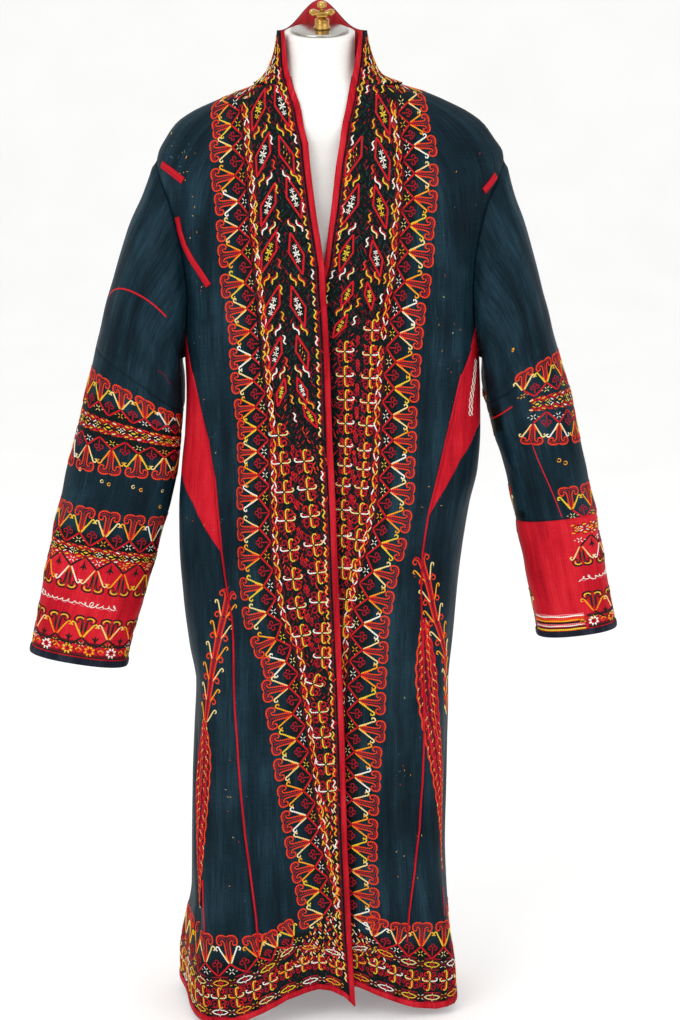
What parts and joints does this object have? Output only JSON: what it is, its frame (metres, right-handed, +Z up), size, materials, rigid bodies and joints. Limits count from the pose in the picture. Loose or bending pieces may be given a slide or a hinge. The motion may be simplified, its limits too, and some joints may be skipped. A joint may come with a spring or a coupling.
{
  "type": "embroidered chapan on a limbless dress form",
  "caption": "Long open-fronted silk coat with long sleeves, red gussets and a standing collar band, worn on a limbless dress form with a metal neck cap and a hidden stand.",
  "frame": {"origin": "on the floor under the middle of the whole object's box", "axes": "+Z up, the coat's open front faces -Y, and the wearer's right side is at -X"},
  "size_m": [0.7968, 0.3028, 1.3739],
  "materials": {
    "blue_silk": "slubbed dark blue-green silk",
    "red_silk": "plain red silk",
    "collar_silk": "dark silk, closely embroidered",
    "lining": "red cotton lining",
    "dark_edge": "dark woven edging",
    "form_canvas": "white jersey over a padded form",
    "base_paint": "white paint",
    "cap_metal": "polished",
    "brass": "polished"
  },
  "bodies": {
    "root": {"front_right": "blue_silk", "front_left": "blue_silk", "back": "blue_silk", "gore_right": "blue_silk", "gore_left": "blue_silk", "sleeve_top_right": "blue_silk", "sleeve_top_left": "blue_silk", "sleeve_right": "blue_silk", "sleeve_left": "blue_silk", "gusset_right": "red_silk", "gusset_left": "red_silk", "cuff_piece_right": "red_silk", "cuff_piece_left": "red_silk", "front_binding_right": "red_silk", "front_binding_left": "red_silk", "hem_binding_right": "red_silk", "hem_binding_back": "red_silk", "hem_binding_left": "red_silk", "seam_piping_right": "red_silk", "seam_piping_left": "red_silk", "armhole_strip_right": "red_silk", "armhole_strip_lower_right": "red_silk", "armhole_strip_left": "red_silk", "collar": "collar_silk", "collar_lining": "lining", "cuff_binding_right": "dark_edge", "cuff_binding_left": "dark_edge", "form_torso": "form_canvas", "base": "base_paint", "neck_cap": "cap_metal", "pole": "cap_metal", "stem": "brass", "wing_nut": "brass", "knob": "brass"}
  },
  "joints": []
}
